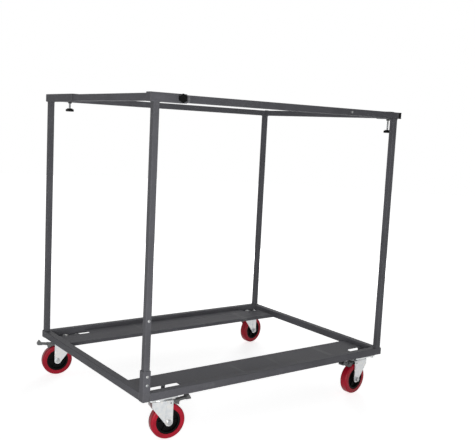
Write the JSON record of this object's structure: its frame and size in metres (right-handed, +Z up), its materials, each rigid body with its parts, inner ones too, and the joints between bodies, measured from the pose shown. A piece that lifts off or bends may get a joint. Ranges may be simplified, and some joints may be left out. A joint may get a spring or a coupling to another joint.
{
  "type": "banquet table trolley",
  "caption": "Square-tube rack trolley with a railed open bay and bottom trays for upright folded tables, clamp-screw rails and braked swivel casters.",
  "frame": {"origin": "on the floor, under the middle of the four posts", "axes": "+X along the long side, towards the overhanging end of the loose front rail; the front long side with its star knob faces -Y; +Z up"},
  "size_m": [1.2106, 0.893, 1.1735],
  "materials": {
    "grey_paint": "satin charcoal powder coat on steel tube and sheet",
    "zinc": "bright zinc plating on pressed and turned steel",
    "dull_steel": "dull dark plating on pressed steel",
    "black_plastic": "moulded, slightly textured",
    "red_tyre": "cast polyurethane, satin"
  },
  "bodies": {
    "frame": {"base_rail_front": "grey_paint", "base_rail_rear": "grey_paint", "base_rail_left": "grey_paint", "base_rail_right": "grey_paint", "post_socket": "grey_paint", "tray_front": "grey_paint", "tray_rear": "grey_paint", "caster_bosses": "grey_paint", "post_front_left": "grey_paint", "post_front_right": "grey_paint", "post_rear_left": "grey_paint", "post_rear_right": "grey_paint", "sleeve_front": "grey_paint", "sleeve_left": "grey_paint", "sleeve_right": "grey_paint", "rail_rear": "grey_paint", "rail_left": "grey_paint", "rail_right": "grey_paint", "rail_guide": "zinc", "clamp_nuts": "zinc", "socket_screws": "zinc", "caster_bolts": "zinc", "plate_fl": "zinc", "plate_fr": "zinc", "plate_rl": "zinc", "plate_rr": "zinc"},
    "front_rail": {"rail_front": "grey_paint", "rail_cap": "black_plastic", "rail_stop": "zinc"},
    "pad_front_end": {"pad_front": "black_plastic"},
    "clamp_front": {"stud_front": "zinc", "knob_front": "black_plastic"},
    "pad_left_end": {"pad_left": "black_plastic"},
    "clamp_left": {"stud_left": "zinc", "knob_left": "black_plastic"},
    "pad_right_end": {"pad_right": "black_plastic"},
    "clamp_right": {"stud_right": "zinc", "knob_right": "black_plastic"},
    "swivel_fl": {"fork_fl": "zinc", "axle_fl": "zinc"},
    "wheel_fl": {"core_fl": "black_plastic", "tread_fl": "red_tyre"},
    "brake_fl": {"pedal_fl": "dull_steel"},
    "swivel_fr": {"fork_fr": "zinc", "axle_fr": "zinc"},
    "wheel_fr": {"core_fr": "black_plastic", "tread_fr": "red_tyre"},
    "brake_fr": {"pedal_fr": "dull_steel"},
    "swivel_rl": {"fork_rl": "zinc", "axle_rl": "zinc"},
    "wheel_rl": {"core_rl": "black_plastic", "tread_rl": "red_tyre"},
    "brake_rl": {"pedal_rl": "dull_steel"},
    "swivel_rr": {"fork_rr": "zinc", "axle_rr": "zinc"},
    "wheel_rr": {"core_rr": "black_plastic", "tread_rr": "red_tyre"},
    "brake_rr": {"pedal_rr": "dull_steel"}
  },
  "joints": [
    {"name": "front_rail_slide", "type": "slide", "parent": "frame", "child": "front_rail", "axis": [1, 0, 0], "range_m": [0, 0.13]},
    {"name": "pad_front_slide", "type": "slide", "parent": "frame", "child": "pad_front_end", "axis": [0, -1, 0], "range_m": [0, 0.0025]},
    {"name": "knob_front_turn", "type": "hinge", "parent": "pad_front_end", "child": "clamp_front", "pos_m": [-0.474, -0.4325, 1.158], "axis": [0, -1, 0], "range_deg": [0, 720]},
    {"name": "pad_left_slide", "type": "slide", "parent": "frame", "child": "pad_left_end", "axis": [0, 0, -1], "range_m": [0, 0.0025]},
    {"name": "knob_left_turn", "type": "hinge", "parent": "pad_left_end", "child": "clamp_left", "pos_m": [-0.558, 0.234, 1.1455], "axis": [0, 0, -1], "range_deg": [0, 720]},
    {"name": "pad_right_slide", "type": "slide", "parent": "frame", "child": "pad_right_end", "axis": [0, 0, -1], "range_m": [0, 0.0025]},
    {"name": "knob_right_turn", "type": "hinge", "parent": "pad_right_end", "child": "clamp_right", "pos_m": [0.558, -0.39, 1.1455], "axis": [0, 0, -1], "range_deg": [0, 720]},
    {"name": "swivel_fl_turn", "type": "hinge", "parent": "frame", "child": "swivel_fl", "pos_m": [-0.487, -0.389, 0.142], "axis": [0, 0, 1], "continuous": true},
    {"name": "wheel_fl_roll", "type": "hinge", "parent": "swivel_fl", "child": "wheel_fl", "pos_m": [-0.45253, -0.39508, 0.0625], "axis": [0.1736, 0.9848, 0], "continuous": true},
    {"name": "brake_fl_press", "type": "hinge", "parent": "swivel_fl", "child": "brake_fl", "pos_m": [-0.44761, -0.39595, 0.131], "axis": [0.1736, 0.9848, 0], "range_deg": [0, 8]},
    {"name": "swivel_fr_turn", "type": "hinge", "parent": "frame", "child": "swivel_fr", "pos_m": [0.487, -0.389, 0.142], "axis": [0, 0, 1], "continuous": true},
    {"name": "wheel_fr_roll", "type": "hinge", "parent": "swivel_fr", "child": "wheel_fr", "pos_m": [0.45226, -0.39326, 0.0625], "axis": [0.1219, -0.9925, 0], "continuous": true},
    {"name": "brake_fr_press", "type": "hinge", "parent": "swivel_fr", "child": "brake_fr", "pos_m": [0.4473, -0.39387, 0.131], "axis": [0.1219, -0.9925, 0], "range_deg": [0, 8]},
    {"name": "swivel_rl_turn", "type": "hinge", "parent": "frame", "child": "swivel_rl", "pos_m": [-0.487, 0.389, 0.142], "axis": [0, 0, 1], "continuous": true},
    {"name": "wheel_rl_roll", "type": "hinge", "parent": "swivel_rl", "child": "wheel_rl", "pos_m": [-0.52147, 0.39508, 0.0625], "axis": [-0.1736, -0.9848, 0], "continuous": true},
    {"name": "brake_rl_press", "type": "hinge", "parent": "swivel_rl", "child": "brake_rl", "pos_m": [-0.52639, 0.39595, 0.131], "axis": [-0.1736, -0.9848, 0], "range_deg": [0, 8]},
    {"name": "swivel_rr_turn", "type": "hinge", "parent": "frame", "child": "swivel_rr", "pos_m": [0.487, 0.389, 0.142], "axis": [0, 0, 1], "continuous": true},
    {"name": "wheel_rr_roll", "type": "hinge", "parent": "swivel_rr", "child": "wheel_rr", "pos_m": [0.52147, 0.39508, 0.0625], "axis": [-0.1736, 0.9848, 0], "continuous": true},
    {"name": "brake_rr_press", "type": "hinge", "parent": "swivel_rr", "child": "brake_rr", "pos_m": [0.52639, 0.39595, 0.131], "axis": [-0.1736, 0.9848, 0], "range_deg": [0, 8]}
  ],
  "couplings": [
    {"joint": "knob_front_turn", "follows": "pad_front_slide", "rad_per_m": 5026.5},
    {"joint": "knob_left_turn", "follows": "pad_left_slide", "rad_per_m": 5026.5},
    {"joint": "knob_right_turn", "follows": "pad_right_slide", "rad_per_m": 5026.5}
  ]
}
